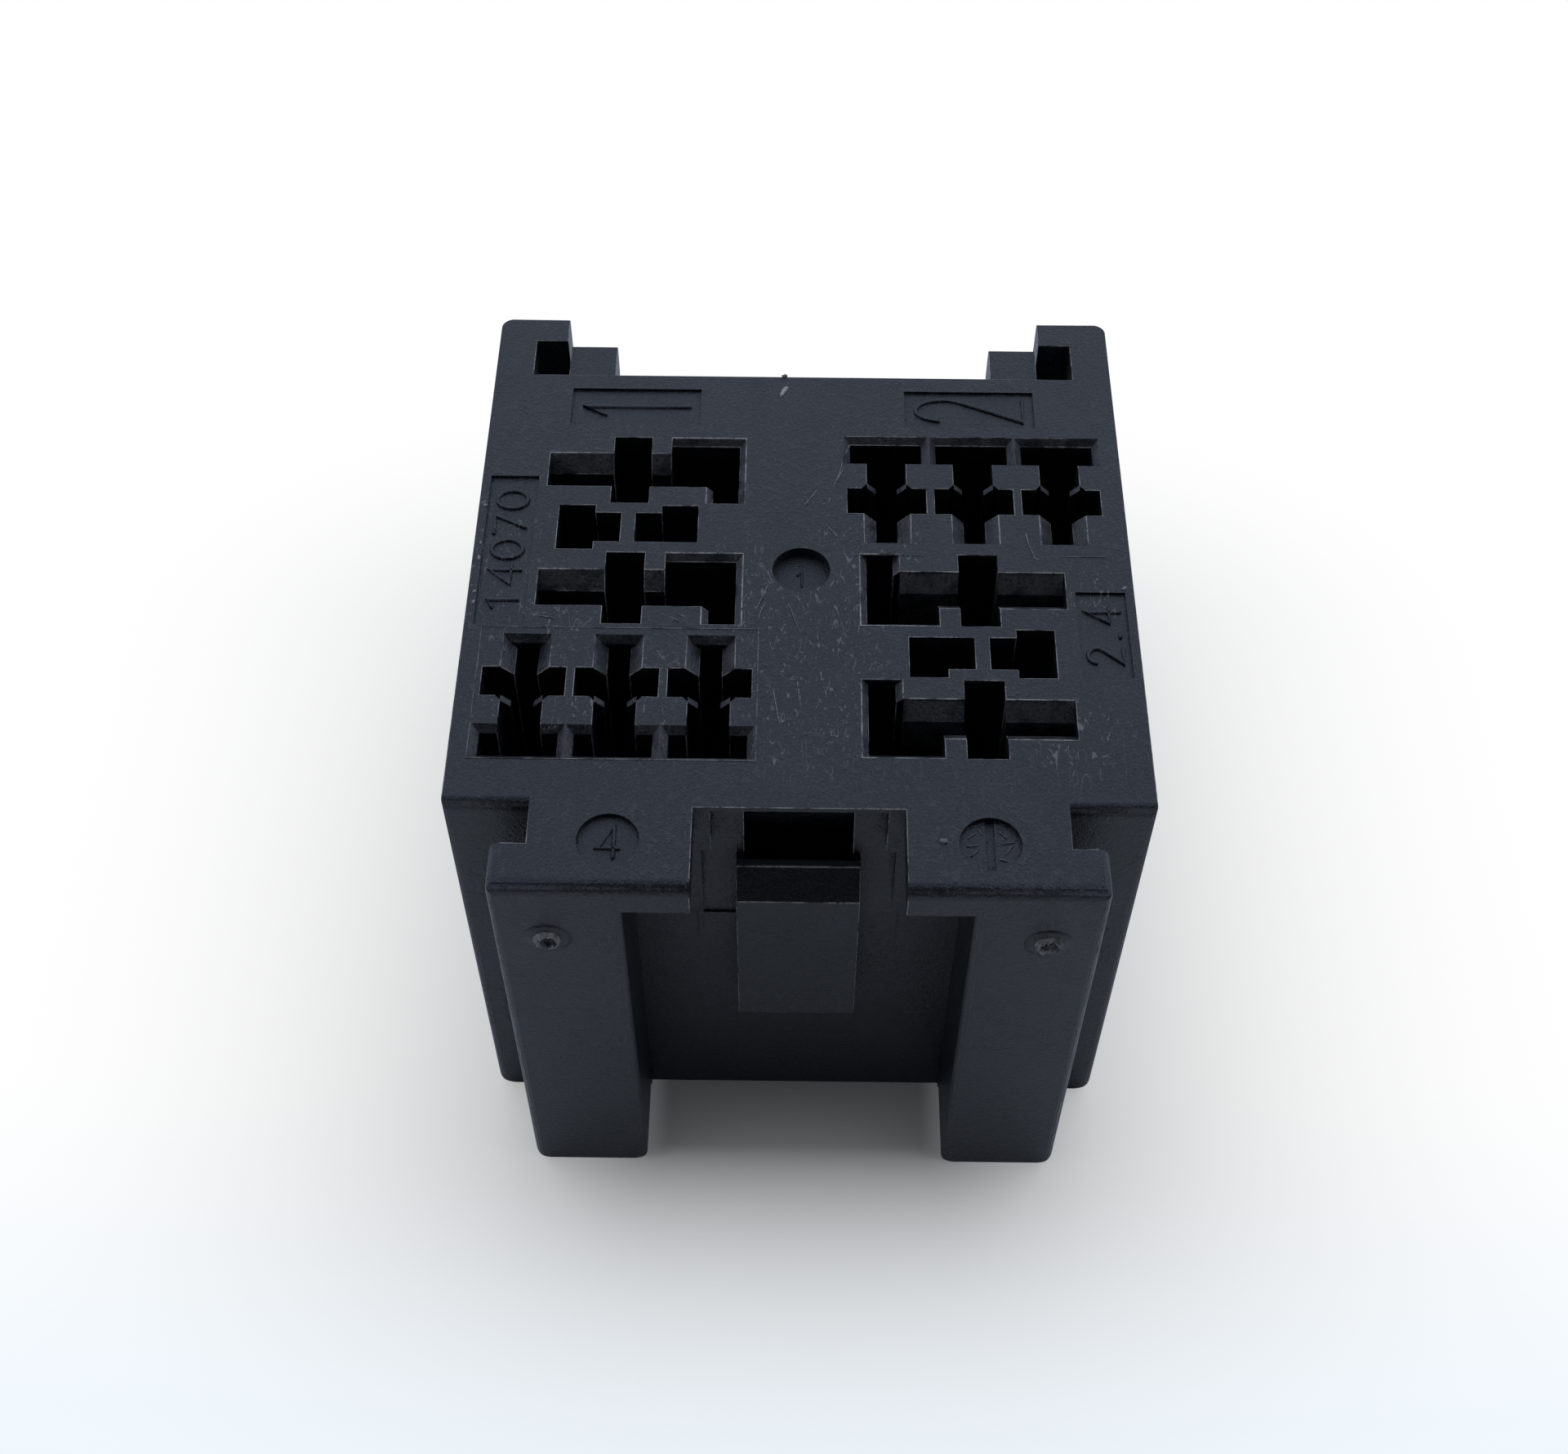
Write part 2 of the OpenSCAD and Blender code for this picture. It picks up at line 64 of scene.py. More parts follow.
# ---------- shader helper: a wrapped socket that takes plain arithmetic
class Field:
    def __init__(self, tree, socket):
        self.tree = tree
        self.socket = socket

    def node(self, kind, settings=None, inputs=None, output=0):
        made = self.tree.nodes.new(kind)
        for name, value in (settings or {}).items():
            setattr(made, name, value)
        for name, value in (inputs or {}).items():
            if isinstance(value, Field):
                self.tree.links.new(value.socket, made.inputs[name])
            else:
                made.inputs[name].default_value = value
        return Field(self.tree, made.outputs[output])

    def math(self, operation, *others):
        return self.node("ShaderNodeMath", {"operation": operation}, dict(enumerate((self, *others))))

    def __add__(self, other):
        return self.math("ADD", other)

    __radd__ = __add__

    def __sub__(self, other):
        return self.math("SUBTRACT", other)

    def __rsub__(self, other):
        return self * -1.0 + other

    def __mul__(self, other):
        return self.math("MULTIPLY", other)

    def __abs__(self):
        return self.math("ABSOLUTE")

    def smooth(self, low, high):
        return self.node("ShaderNodeMapRange", {"interpolation_type": "SMOOTHSTEP"},
                         {"Value": self, "From Min": low, "From Max": high})

    def noise(self, scale, detail=3.0, rough=0.5):
        return self.node("ShaderNodeTexNoise", None,
                         {"Vector": self, "Scale": scale, "Detail": detail, "Roughness": rough})

    def cells(self, scale):
        return self.node("ShaderNodeTexVoronoi", None, {"Vector": self, "Scale": scale}, "Distance")

    def mapped(self, move=(0, 0, 0), turn=0, scale=(1, 1, 1)):
        rotation = (0, 0, math.radians(turn))
        return self.node("ShaderNodeMapping", None,
                         {"Vector": self, "Location": move, "Rotation": rotation, "Scale": scale})

    def axis(self, name):
        return self.node("ShaderNodeSeparateXYZ", None, {"Vector": self}, name)

    def blend(self, low, high):
        # inputs 6 and 7 and output 2 of the Mix node are its colours
        return self.node("ShaderNodeMix", {"data_type": "RGBA"}, {"Factor": self, 6: low, 7: high}, 2)

    def lightPath(self, kind):
        return self.node("ShaderNodeLightPath", None, None, kind)


def newMaterial(name):
    material = bpy.data.materials.new(name)
    material.use_nodes = True
    tree = material.node_tree
    tree.nodes.clear()
    output = tree.nodes.new("ShaderNodeOutputMaterial")
    return material, tree, output


# ---------- black nylon with the marks of handling, and painted highlights on its rounded edges, rims and slopes
nylon = {
    "base": (0.0036, 0.0044, 0.0082, 1),
    "dusty": (0.022, 0.026, 0.036, 1),
    "scuffed": (0.115, 0.122, 0.138, 1),
    "wornAndHighlight": (0.27, 0.285, 0.32, 1),
    "speck": (0.36, 0.38, 0.41, 1),
    "roughness": 0.31,
    "ior": 1.5,
    # noise scales, in waves a millimetre, and the depth of the relief in metres
    "grainScale": 4.6,
    "fineScale": 9.5,
    "blotchScale": 0.25,
    "mottleScale": 1.9,
    "crumbScale": 1.5,
    "reliefDepth": 0.00008,
    # the noise's stretch, a line's half width, the scale of its gaps, and how much they take
    "squiggles": (
        ((2.6, 0.5, 1), 0.028, 1.5, 0.55),
        ((4.0, 1.5, 1), 0.034, 2.4, 0.59),
        ((1.1, 0.25, 1), 0.010, 0.8, 0.56),
    ),
    # rubbed patches: middle and reach
    "handled": ((0, -5, 7), (0, -11, 5), (-16, -3, 5), (-19.5, 3, 5), (-10, -9.5, 6), (-16, -10, 4),
                (-4, 0, 4), (4, 2, 5), (17, -1, 3.5), (16, -12, 4)),
}


def squiggleLines(place, scale, width, cut, kept, seed):
    # noise kept near one level gives winding hair lines, and a second noise leaves short bits of them
    drawn = place.mapped((seed, -seed, 0), 6 * seed, scale).noise(1.0, 1.0, 0.5)
    line = 1 - abs(drawn - 0.5).smooth(width * 0.3, width)
    bits = place.mapped((-seed, seed, seed)).noise(cut, 1.0, 0.5).smooth(kept, kept + 0.05)
    return line * bits


def handledPatch(place, x, y, reach):
    # a soft round patch where tools and terminals have rubbed
    off = place.mapped((-x, -y, 0), 0, (1, 1, 0))
    away = off.node("ShaderNodeVectorMath", {"operation": "LENGTH"}, {0: off}, "Value")
    return 1 - away.smooth(reach * 0.3, reach)


def blackNylon(name):
    material, tree, output = newMaterial(name)
    start = Field(tree, None)
    mm = start.node("ShaderNodeTexCoord", None, None, "Object").mapped(scale=(1000, 1000, 1000))
    wearAndHighlight = start.node("ShaderNodeAttribute", {"attribute_name": "wearAndHighlight"}, None, "Fac")
    pale = start.node("ShaderNodeAttribute", {"attribute_name": "pale"}, None, "Fac")
    onTop = mm.axis("Z").smooth(topZ * 1000 - 0.4, topZ * 1000 - 0.1)
    grain = mm.noise(nylon["grainScale"], 3.0, 0.65)
    fineGrain = mm.noise(nylon["fineScale"], 2.0, 0.65)
    blotch = mm.noise(nylon["blotchScale"], 3.0, 0.6)
    patchy = mm.mapped((4, 2, 0)).noise(0.5, 2.0) * 2.2
    handled = sum(handledPatch(mm, *one) for one in nylon["handled"]).math("MINIMUM", 1.0) * patchy
    mottle = mm.noise(nylon["mottleScale"], 3.0, 0.6).smooth(0.52, 0.66)
    mottle = mottle * mm.mapped((4, 2, 0)).noise(0.14, 2.0).smooth(0.42, 0.60)
    lines = sum(squiggleLines(mm, *one, 3.7 * seed + 1.3) for seed, one in enumerate(nylon["squiggles"]))
    lines = lines * (handled + 0.12) * (onTop * 0.9 + 0.1)
    crumbs = 1 - mm.cells(nylon["crumbScale"]).smooth(0.02, 0.06)
    crumbs = crumbs * mm.mapped((5, 5, 5)).noise(0.6, 2.0).smooth(0.55, 0.62)
    crumbs = crumbs * (onTop * 0.85 + 0.15)
    # the pale colour is laid where the face attribute marks it: partly real scratches, flash and marks,
    # partly painted highlight on rounded edges, rims, slopes, torn gate rims and some edge rods
    edge = wearAndHighlight * grain.smooth(0.28, 0.52) * mm.noise(0.8, 2.0).smooth(0.30, 0.58)
    dust = blotch.smooth(0.40, 0.75) * 0.2 + fineGrain.smooth(0.44, 0.68) * 0.8
    dust = dust + mottle * (onTop * 0.6 + 0.15)
    colour = dust.blend(nylon["base"], nylon["dusty"])
    colour = edge.blend(colour, nylon["wornAndHighlight"])
    colour = (lines * 0.9).blend(colour, nylon["scuffed"])
    colour = (crumbs * 0.55 + pale).blend(colour, nylon["speck"])
    rough = nylon["roughness"] + (grain - 0.5) * 0.22 + mottle * 0.08 + lines * 0.15
    relief = grain * 0.6 + fineGrain * 0.45 + lines * 0.2 + mottle * 0.3
    normal = start.node("ShaderNodeBump", None,
                        {"Strength": 1.0, "Distance": nylon["reliefDepth"], "Height": relief})
    shader = tree.nodes.new("ShaderNodeBsdfPrincipled")
    shader.inputs["IOR"].default_value = nylon["ior"]
    tree.links.new(colour.socket, shader.inputs["Base Color"])
    tree.links.new(rough.socket, shader.inputs["Roughness"])
    tree.links.new(normal.socket, shader.inputs["Normal"])
    tree.links.new(shader.outputs[0], output.inputs["Surface"])
    return material


nylonFinish = blackNylon("blackNylon")
print("materials made")


def finished(bm, name, material):
    mesh = bpy.data.meshes.new(name)
    bm.to_mesh(mesh)
    bm.free()
    piece = bpy.data.objects.new(name, mesh)
    bpy.context.scene.collection.objects.link(piece)
    mesh.materials.append(material)
    return piece


# ---------- raised numbers, drawn as round strokes in a cell one high and half wide
def arc(middle, reach, first, last, steps=14):
    turns = [math.radians(first + (last - first) * i / steps) for i in range(steps + 1)]
    return [(middle[0] + reach[0] * math.cos(t), middle[1] + reach[1] * math.sin(t)) for t in turns]


numerals = {
    "0": [arc((0.25, 0.5), (0.25, 0.5), 90, 450, 24)],
    "1": [[(0.08, 0.78), (0.28, 1.0), (0.28, 0.0)]],
    "2": [arc((0.25, 0.74), (0.25, 0.26), 170, -30) + [(0.0, 0.0), (0.5, 0.0)]],
    "4": [[(0.38, 0.0), (0.38, 1.0), (0.0, 0.3), (0.5, 0.3)]],
    "7": [[(0.0, 1.0), (0.5, 1.0), (0.16, 0.0)]],
    ".": [[(0.2, 0.04), (0.3, 0.04)]],
}
marks = {
    "stroke": 0.13 * millimetre,
    "fill": 0.72,
    "wearAndHighlight": 0.0,
    "proud": 0.02 * millimetre,
    "fieldDepth": 0.18 * millimetre,
    "discDepth": 0.3 * millimetre,
    "middleDepth": 0.7 * millimetre,
    "lines": [
        {"text": "1", "at": (-10.7, 31.2), "high": 6.9, "wide": 2.6, "turn": 90, "sunk": "fieldDepth"},
        {"text": "2", "at": (10.7, 31.2), "high": 6.9, "wide": 2.6, "turn": 90, "sunk": "fieldDepth"},
        {"text": "14070", "at": (-17.95, 19.0), "high": 1.9, "wide": 10.2, "turn": 90, "sunk": "fieldDepth"},
        {"text": "2.4", "at": (17.95, 12.7), "high": 2.1, "wide": 4.6, "turn": 90, "sunk": "fieldDepth"},
        {"text": "4", "at": (-10.55, -2.25), "high": 2.0, "wide": 1.7, "turn": 0, "sunk": "discDepth"},
        {"text": "1", "at": (0.0, 17.3), "high": 1.1, "wide": 0.9, "turn": 0, "sunk": "middleDepth",
         "thin": 0.6},
    ],
}
print("numerals drawn")


# ---------- small forms laid on the moulding: strokes, torn gates, flash and crumbs, and bright rods of painted highlight along some edges
def spot(x, y, z):
    # millimetres from the middle of the front wall's foot
    return Vector((x * millimetre, wallY + y * millimetre, z * millimetre))


def skin(bm, rings, wearAndHighlight):
    loops = [[bm.verts.new(place) for place in ring] for ring in rings]
    made = [bm.faces.new(loops[0][::-1]), bm.faces.new(loops[-1])]
    for near, far in zip(loops, loops[1:]):
        for i, vert in enumerate(near):
            j = (i + 1) % len(near)
            made.append(bm.faces.new((vert, near[j], far[j], far[i])))
    for face in made:
        face.smooth = True
        face[bm.faces.layers.float["wearAndHighlight"]] = wearAndHighlight
    return made


def rod(bm, path, radius, wearAndHighlight, up=Vector((0, 0, 1)), sides=6, taper=0.6):
    # a round stroke along a path, mitred at its corners and rounded at both ends
    rings = []
    last = len(path) - 1
    for i, place in enumerate(path):
        ahead = (path[min(i + 1, last)] - path[max(i - 1, 0)]).normalized()
        leg = (path[i + 1] - place if i < last else place - path[i - 1]).normalized()
        wide = min(1.6, 1 / max(0.3, ahead.dot(leg)))
        across = ahead.cross(up).normalized()
        lift = across.cross(ahead)
        turns = [2 * math.pi * k / sides for k in range(sides)]
        ring = [across * (math.cos(t) * wide * radius) + lift * (math.sin(t) * radius) for t in turns]
        if i == 0:
            rings.append([place - ahead * radius * 0.8 + off * taper for off in ring])
        rings.append([place + off for off in ring])
        if i == last:
            rings.append([place + ahead * radius * 0.8 + off * taper for off in ring])
    skin(bm, rings, wearAndHighlight)


def drawMark(bm, mark):
    turn = math.radians(mark["turn"])
    cell = mark["wide"] / len(mark["text"])
    middle = spot(*mark["at"], 0)
    middle.z = topZ - marks[mark["sunk"]] + marks["proud"]
    for place, letter in enumerate(mark["text"]):
        for stroke in numerals[letter]:
            path = []
            for u, v in stroke:
                along = (place + 0.5) * cell - mark["wide"] / 2 + (u - 0.25) * 2 * cell * marks["fill"]
                rise = (v - 0.5) * mark["high"]
                off = Vector((along * math.cos(turn) - rise * math.sin(turn),
                              along * math.sin(turn) + rise * math.cos(turn), 0))
                path.append(middle + off * millimetre)
            rod(bm, path, marks["stroke"] * mark.get("thin", 1), marks["wearAndHighlight"])


gates = {
    "at": ((-14.05, 28.2), (14.05, 28.2)),
    "railFront": -5.5,
    # distance from the middle, how far it stands out, and how torn it is
    "profile": (
        (1.45, -0.30, 0.0), (1.40, 0.01, 0.0), (1.05, 0.06, 0.02), (0.80, 0.12, 0.06), (0.66, 0.30, 0.30),
        (0.56, 0.32, 0.30), (0.46, 0.14, 0.20), (0.36, 0.02, 0.02), (0.20, 0.01, 0.06), (0.04, 0.10, 0.10),
    ),
    "sides": 36,
    "tornBand": (0.5, 0.75),
    "tornHighlight": 0.9,
}


def tearGate(bm, x, z, seed):
    # the broken runner: a low collar, a torn rim and a hollow, all facing the front
    rings = []
    for reach, rise, torn in gates["profile"]:
        ring = []
        for k in range(gates["sides"]):
            t = 2 * math.pi * k / gates["sides"]
            rough = noise.noise(Vector((math.cos(t) * 1.7, math.sin(t) * 1.7, seed + reach * 3)))
            rougher = noise.noise(Vector((math.cos(t) * 5, math.sin(t) * 5, seed - reach * 3)))
            out = gates["railFront"] - rise - torn * (rough + 0.8 * rougher)
            wide = reach * (1 + 0.4 * torn * rougher)
            ring.append(spot(x + wide * math.cos(t), out, z + wide * math.sin(t)))
        rings.append(ring)
    # the torn band round the hollow is painted pale: a painted highlight on the torn rim
    low, high = gates["tornBand"]
    for face in skin(bm, rings, 0.0):
        place = face.calc_center_median() - spot(x, gates["railFront"], z)
        reach = math.hypot(place.x, place.z) / millimetre
        face[bm.faces.layers.float["wearAndHighlight"]] = gates["tornHighlight"] if low < reach < high else 0.0


flash = {
    "radius": 0.035,
    "step": 0.6,
    "wander": 0.02,
    "wanderScale": 900,
    "wearAndHighlight": 0.5,
    "up": (0, 0, 1),
    "sides": 5,
    "taper": 0.3,
}


def layFlash(bm, line, seed):
    # one line at a time: a hair of flash, a scratch's raised lip, a bright rod of painted highlight along an
    # edge; each wanders a little on its way
    look = {**flash, **line}
    first, last = (spot(*end) for end in look["run"])
    count = max(3, int((last - first).length / (look["step"] * millimetre)))
    path = []
    for i in range(count + 1):
        place = first.lerp(last, i / count)
        off = noise.noise_vector(place * look["wanderScale"] + Vector((seed, 0, 0)))
        path.append(place + off * look["wander"] * millimetre)
    rod(bm, path, look["radius"] * millimetre, look["wearAndHighlight"],
        Vector(look["up"]), look["sides"], look["taper"])


# a bright rod of painted highlight for the far edges of the arms
armHighlight = {"wearAndHighlight": 1.0, "radius": 0.05, "wander": 0.01}
partingsAndHighlights = [
    # round the terminal group on the left
    {"run": ((-18.9, 3.2, faceHeight), (-2.5, 3.2, faceHeight))},
    {"run": ((-18.9, 12.8, faceHeight), (-2.5, 12.8, faceHeight))},
    {"run": ((-18.9, 3.2, faceHeight), (-18.9, 12.8, faceHeight))},
    {"run": ((-2.5, 3.2, faceHeight), (-2.5, 12.8, faceHeight))},
    # beside the terminal group on the right
    {"run": ((3.0, 18.75, faceHeight), (7.4, 18.75, faceHeight))},
    {"run": ((15.8, 18.75, faceHeight), (18.5, 18.75, faceHeight))},
    # down the fronts of the caps and rails
    {"run": ((-10.2, -5.49, 32.4), (-10.2, -5.49, 0.6)), "up": (0, -1, 0), "wearAndHighlight": 0.1},
    {"run": ((10.2, -5.49, 32.4), (10.2, -5.49, 0.6)), "up": (0, -1, 0), "wearAndHighlight": 0.1},
    # bright rods along the top of the catch and the far edges of the right-hand arms: painted highlights on
    # these edges, not flash
    {"run": ((-3.55, -0.1, 27.5), (3.55, -0.1, 27.5)), "wearAndHighlight": 1.0, "radius": 0.07, "wander": 0.01},
    {"run": ((6.3, 17.44, 33.29), (9.5, 17.44, 33.29)), **armHighlight},
    {"run": ((11.9, 17.44, 33.29), (15.8, 17.44, 33.29)), **armHighlight},
    {"run": ((6.3, 7.76, 33.29), (9.5, 7.76, 33.29)), **armHighlight},
    {"run": ((11.9, 7.76, 33.29), (15.8, 7.76, 33.29)), **armHighlight},
]
scratchLook = {"radius": 0.024, "wearAndHighlight": 0.9, "wander": 0.12, "step": 0.35}
# scratches on the top face, from one end to the other
scratches = (
    ((1.6, 23.0), (2.6, 26.0)), ((2.0, 24.3), (2.9, 27.9)), ((0.2, 22.7), (0.9, 24.1)),
    ((1.4, 21.3), (2.4, 20.0)), ((-2.9, 13.7), (-1.8, 16.8)), ((-2.1, 15.1), (-2.6, 13.4)),
    ((0.4, 14.8), (1.0, 12.1)), ((-0.8, 14.8), (0.5, 11.1)), ((-0.2, 9.2), (0.1, 6.8)),
    ((13.7, 20.6), (14.2, 18.6)), ((14.2, 18.6), (15.2, 18.3)),
    ((-8.0, 13.9), (-7.2, 13.3)), ((-7.4, 13.9), (-6.3, 13.6)),
    ((-16.6, 13.9), (-14.6, 13.5)), ((-16.2, 13.5), (-14.9, 14.1)),
    ((-1.6, 8.4), (-1.1, 5.6)), ((1.2, 9.6), (1.5, 7.9)), ((-0.9, 12.2), (-1.3, 10.1)),
)

crumbs = {
    # place, the three half sizes, turn, paleness
    "flakes": [
        ((-1.2, 32.8), (0.55, 0.13, 0.05), 65, 0.8),
        ((-1.2, 34.1), (0.22, 0.12, 0.12), 20, 0.3),
        ((-19.6, 22.5), (0.16, 0.10, 0.08), 30, 0.7),
        ((-19.6, 19.4), (0.13, 0.08, 0.08), 80, 0.6),
        ((-19.6, 18.2), (0.20, 0.09, 0.08), 95, 0.7),
        ((-19.6, 15.5), (0.12, 0.10, 0.07), 10, 0.5),
        ((-19.6, 14.7), (0.15, 0.08, 0.07), 70, 0.6),
        ((19.45, 16.3), (0.16, 0.10, 0.08), 40, 0.6),
        ((7.95, -2.1), (0.22, 0.20, 0.16), 0, 0.1),
    ],
    "ragged": 0.45,
    "wearAndHighlight": 0.3,
}


def layFlake(bm, place, half, turn, pale, seed):
    made = bmesh.ops.create_icosphere(bm, subdivisions=2, radius=1)
    shape = Matrix.Translation(place) @ Matrix.Rotation(math.radians(turn), 4, "Z")
    for vert in made["verts"]:
        ragged = 1 + crumbs["ragged"] * noise.noise(vert.co * 1.6 + Vector((seed * 3.1, 0, 0)))
        vert.co = shape @ Vector([c * h * ragged * millimetre for c, h in zip(vert.co, half)])
        for face in vert.link_faces:
            face[bm.faces.layers.float["pale"]] = pale
            face[bm.faces.layers.float["wearAndHighlight"]] = crumbs["wearAndHighlight"]


ledges = {
    # the arms of the two wide cavities on the right: where each begins and ends, and its far edges
    "runs": ((5.97, 9.5), (11.9, 15.88)),
    "edges": (17.45, 7.77),
    "slope": 0.95,
    # the top lies just under the face, the back just inside the wall
    "top": 33.29,
    "sunk": 0.02,
    "foot": 14.0,
    # the sloped ledge gets the same little painted light as the cavity slopes
    "wearAndHighlight": 0.12,
}


def addLedge(bm, first, last, edge):
    # the sloped far side of an arm, with the wall below it
    back, front = edge + ledges["sunk"], edge - ledges["slope"]
    profile = ((back, ledges["top"]), (front, faceHeight - ledges["slope"]),
               (front, ledges["foot"]), (back, ledges["foot"]))
    for face in skin(bm, [[spot(x, y, z) for y, z in profile] for x in (first, last)], ledges["wearAndHighlight"]):
        face.smooth = False


scribbles = {
    # the short marks round the sunk pad on the right
    "lines": (
        ((9.35, -1.70), (9.75, -1.35)), ((9.25, -2.25), (9.85, -2.15)), ((9.45, -2.9), (9.80, -2.55)),
        ((11.1, -1.3), (11.45, -1.65)), ((11.2, -2.05), (11.85, -1.95)), ((11.35, -2.75), (11.75, -2.2)),
        ((11.0, -3.05), (11.4, -3.2)), ((9.9, -1.05), (10.1, -1.45)),
    ),
    "height": 33.02,
    "radius": 0.05,
    "wearAndHighlight": 0.3,
}


# ---------- the moulded housing, with its edges broken as the tool leaves them
housingLook = {
    "edge": 0.045 * millimetre,
    "edgeAngle": 28,
    "wideFaces": (0.5 * millimetre, 1.0),
    "merge": 0.002 * millimetre,
    "flatAngle": 0.4,
    "facetWidth": 0.3 * millimetre,
    "facetTurn": (1, 20),
    "edgeHighlight": 1.0,
    # how upright the normal of a cavity's slope is, and how far down slopes are looked for; such slopes get
    # painted light
    "slopeRise": (0.6, 0.8),
    "slopeReach": 1.5 * millimetre,
    "slopePaintedLight": 0.12,
    # the rounded upright edges of the rails and caps, which get a painted highlight
    "rimFrom": 16.5 * millimetre,
    "rimRise": 0.2,
    "rimTurn": (0.45, 0.97),
    "rimHighlight": 0.45,
}


def widthOf(face):
    return face.calc_area() / max(edge.calc_length() for edge in face.edges)


def isRoundFacet(face):
    # a narrow strip that turns a little against at least two neighbours belongs to a round form
    low, high = (math.radians(limit) for limit in housingLook["facetTurn"])
    turns = [edge.calc_face_angle(0) for edge in face.edges]
    narrow = widthOf(face) < housingLook["facetWidth"]
    return narrow and sum(low < turn < high for turn in turns) > 1


def breakEdges(bm):
    # rounds the sharp edges that stand out, where the narrower of their two faces is wide enough, and paints
    # a highlight on the rounded faces
    limit = math.radians(housingLook["edgeAngle"])
    low, high = housingLook["wideFaces"]
    chosen = [edge for edge in bm.edges
              if edge.is_manifold and edge.calc_face_angle_signed() > limit
              and low < min(widthOf(face) for face in edge.link_faces) < high]
    broken = bmesh.ops.bevel(bm, geom=chosen, offset=housingLook["edge"], offset_type="OFFSET",
                             segments=2, profile=0.5, affect="EDGES", clamp_overlap=False)
    for face in broken["faces"]:
        face.smooth = True
        face[bm.faces.layers.float["wearAndHighlight"]] = housingLook["edgeHighlight"]


def paintedLightOf(face):
    # the upward slopes of the cavities get a little painted light, the rounded rims of the rails and caps a
    # stronger painted highlight
    look = housingLook
    low, high = look["slopeRise"]
    middle = face.calc_center_median()
    if low < face.normal.z < high and middle.z > topZ - look["slopeReach"]:
        return look["slopePaintedLight"]
    low, high = look["rimTurn"]
    onRim = face.smooth and abs(middle.x) > look["rimFrom"] and middle.y < wallY
    upright = abs(face.normal.z) < look["rimRise"] and low < abs(face.normal.x) < high
    return look["rimHighlight"] if onRim and upright else 0


def dressHousing():
    look = housingLook
    bm = bmesh.new()
    bm.from_mesh(housingNode.data)
    bmesh.ops.remove_doubles(bm, verts=bm.verts, dist=look["merge"])
    bmesh.ops.dissolve_limit(bm, angle_limit=math.radians(look["flatAngle"]),
                             verts=bm.verts, edges=bm.edges)
    wearAndHighlight = bm.faces.layers.float.new("wearAndHighlight")
    bm.faces.layers.float.new("pale")
    for face in bm.faces:
        face.smooth = isRoundFacet(face)
        face[wearAndHighlight] = paintedLightOf(face)
    breakEdges(bm)
    for mark in marks["lines"]:
        drawMark(bm, mark)
    for line in scribbles["lines"]:
        ends = [spot(x, y, scribbles["height"]) for x, y in line]
        rod(bm, ends, scribbles["radius"] * millimetre, scribbles["wearAndHighlight"])
    for edge in ledges["edges"]:
        for run in ledges["runs"]:
            addLedge(bm, *run, edge)
    for seed, (x, z) in enumerate(gates["at"]):
        tearGate(bm, x, z, seed * 7.3)
    for seed, drawnRun in enumerate(partingsAndHighlights):
        layFlash(bm, drawnRun, seed)
    for seed, scratch in enumerate(scratches):
        ends = [(x, y, faceHeight) for x, y in scratch]
        layFlash(bm, {"run": ends, **scratchLook}, seed * 3.7)
    for seed, (at, half, turn, pale) in enumerate(crumbs["flakes"]):
        layFlake(bm, spot(*at, faceHeight), half, turn, pale, seed)
    piece = finished(bm, "housing_finished", nylonFinish)
    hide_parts("housing")
    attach(piece, "root")


dressHousing()
print("housing dressed")

# ---------- floor, light and camera
studio = {
    "floor": (0.94, 0.965, 1.0, 1),
    # seen in reflections the floor is darker and bluer: painted shade on the floor's reflections in the
    # piece
    "floorMirrored": (0.74, 0.84, 1.0, 1),
    "skyMirrored": (0.63, 0.74, 0.98, 1),
    "darkWay": (0.0, -0.906, 0.423),
    "darkMirrored": 0.97,
    "darkShed": 0.93,
    # where the world turns dark, as the cosine to the dark way
    "darkFade": (-0.05, 0.85),
    "floorSize": 3.0,
    # millimetres: round this box the floor keeps its shadow, then it fades to white;
    # distances across are squashed first, so the shadow has more room there
    "shadowBox": (5.1, 21.35),
    "shadowSquash": 0.6,
    "shadowReach": 30.0,
    # millimetres: before the piece, the white that the camera sees is painted a little darker and bluer, a
    # painted shade on the paper
    "frontPaintedShade": (0.87, 0.93, 0.985, 1),
    "frontFade": (-45, -15),
    "frontReach": (60, 150),
}
view = {
    "target": (-0.99 * millimetre, 0.75 * millimetre, 17.21 * millimetre),
    "distance": 142.57 * millimetre,
    "azimuth": 0.342,
    "elevation": 53.334,
    "roll": 0.364,
    "lens": 49.17,
}


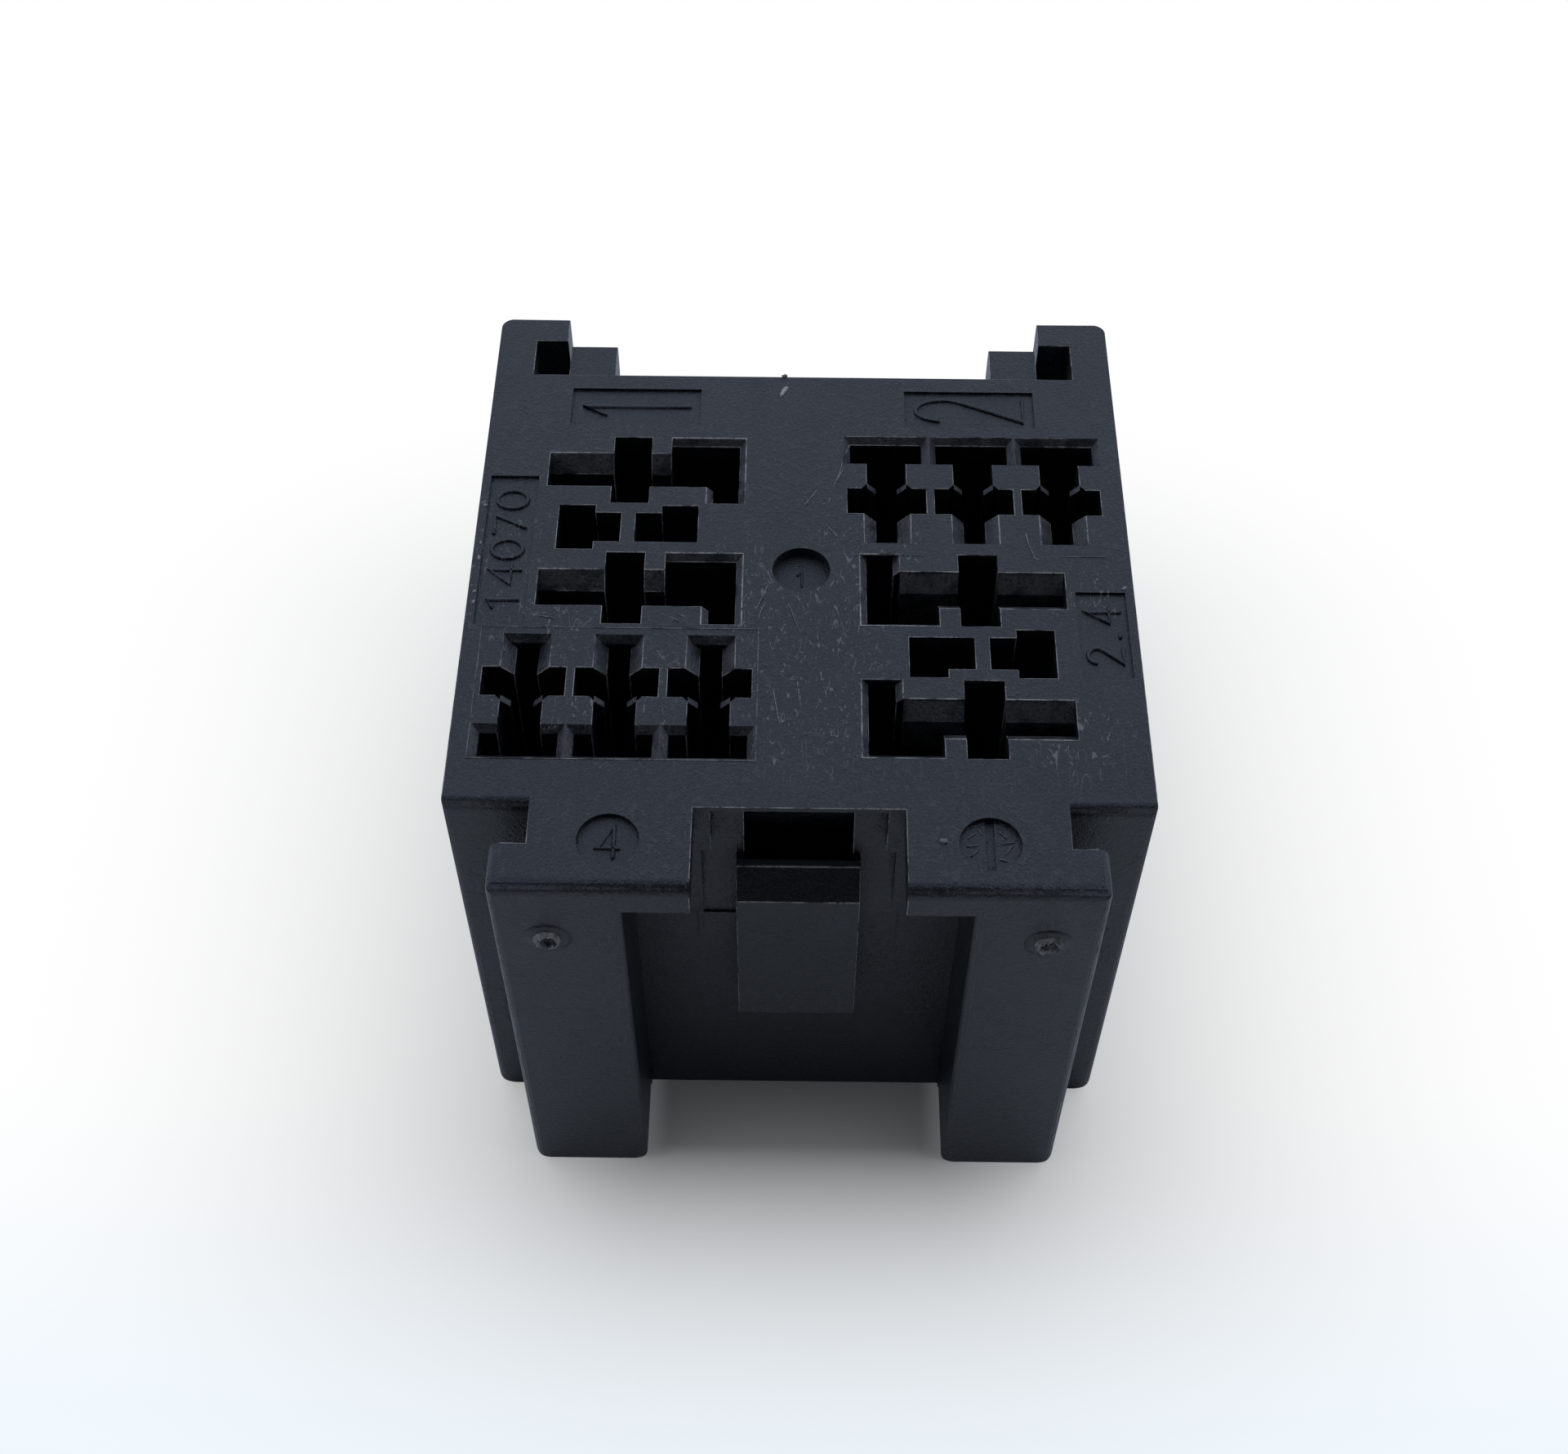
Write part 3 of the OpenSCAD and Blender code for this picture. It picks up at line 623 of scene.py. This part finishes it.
def makeFloor():
    # pale paper that keeps the piece's shadow; away from the piece the camera sees plain white
    bm = bmesh.new()
    bmesh.ops.create_grid(bm, x_segments=1, y_segments=1, size=studio["floorSize"])
    material, tree, output = newMaterial("paleFloor")
    start = Field(tree, None)
    # in reflections the floor is given a darker, bluer colour: painted shade in what the piece mirrors
    mirrored = start.lightPath("Is Glossy Ray")
    colour = mirrored.blend(studio["floor"], studio["floorMirrored"])
    paper = start.node("ShaderNodeBsdfDiffuse", None, {"Color": colour})
    mm = start.node("ShaderNodeTexCoord", None, None, "Object").mapped(scale=(1000, 1000, 1000))
    wide, deep = studio["shadowBox"]
    across = (abs(mm.axis("X")) * studio["shadowSquash"] - wide).math("MAXIMUM", 0.0)
    along = (abs(mm.axis("Y")) - deep).math("MAXIMUM", 0.0)
    away = (across * across + along * along).math("SQRT") * (1 / studio["shadowReach"])
    near = away.math("MINIMUM", 1.0)
    seen = start.lightPath("Is Camera Ray") * near * (2.0 - near)
    reach = (mm.axis("X") * mm.axis("X") + mm.axis("Y") * mm.axis("Y")).math("SQRT")
    # before the piece the camera's white is tinted darker and bluer: painted shade on the floor
    front = (1 - mm.axis("Y").smooth(*studio["frontFade"])) * (1 - reach.smooth(*studio["frontReach"]))
    paintedShadeTint = front.blend((1, 1, 1, 1), studio["frontPaintedShade"])
    white = start.node("ShaderNodeEmission", None, {"Color": paintedShadeTint, "Strength": 1.0})
    both = start.node("ShaderNodeMixShader", None, {0: seen, 1: paper, 2: white})
    tree.links.new(both.socket, output.inputs["Surface"])
    finished(bm, "floor", material)


def makeWorld():
    world = bpy.data.worlds.new("softStudio")
    bpy.context.scene.world = world
    world.use_nodes = True
    tree = world.node_tree
    tree.nodes.clear()
    output = tree.nodes.new("ShaderNodeOutputWorld")
    start = Field(tree, None)
    way = start.node("ShaderNodeTexCoord", None, None, "Generated")
    toDark = start.node("ShaderNodeVectorMath", {"operation": "DOT_PRODUCT"},
                        {0: way, 1: studio["darkWay"]}, "Value")
    dark = toDark.smooth(*studio["darkFade"])
    mirrored = start.lightPath("Is Glossy Ray")
    share = studio["darkShed"] + mirrored * (studio["darkMirrored"] - studio["darkShed"])
    level = (1 - dark * share).math("MAXIMUM", start.lightPath("Is Camera Ray"))
    colour = mirrored.blend((1, 1, 1, 1), studio["skyMirrored"])
    background = start.node("ShaderNodeBackground", None, {"Color": colour, "Strength": level})
    tree.links.new(background.socket, output.inputs["Surface"])


def makeCamera():
    turn, rise = math.radians(view["azimuth"]), math.radians(view["elevation"])
    back = Vector((math.sin(turn) * math.cos(rise), -math.cos(turn) * math.cos(rise), math.sin(rise)))
    data = bpy.data.cameras.new("camera")
    data.lens = view["lens"]
    data.sensor_width = 36
    data.clip_start = 0.01
    data.clip_end = 10
    camera = bpy.data.objects.new("camera", data)
    bpy.context.scene.collection.objects.link(camera)
    aim = (-back).to_track_quat("-Z", "Y").to_matrix().to_4x4()
    roll = Matrix.Rotation(math.radians(view["roll"]), 4, "Z")
    camera.matrix_world = Matrix.Translation(Vector(view["target"]) + back * view["distance"]) @ aim @ roll
    bpy.context.scene.camera = camera


makeFloor()
makeWorld()
makeCamera()
bpy.context.scene.view_settings.view_transform = "Standard"
print("studio made")
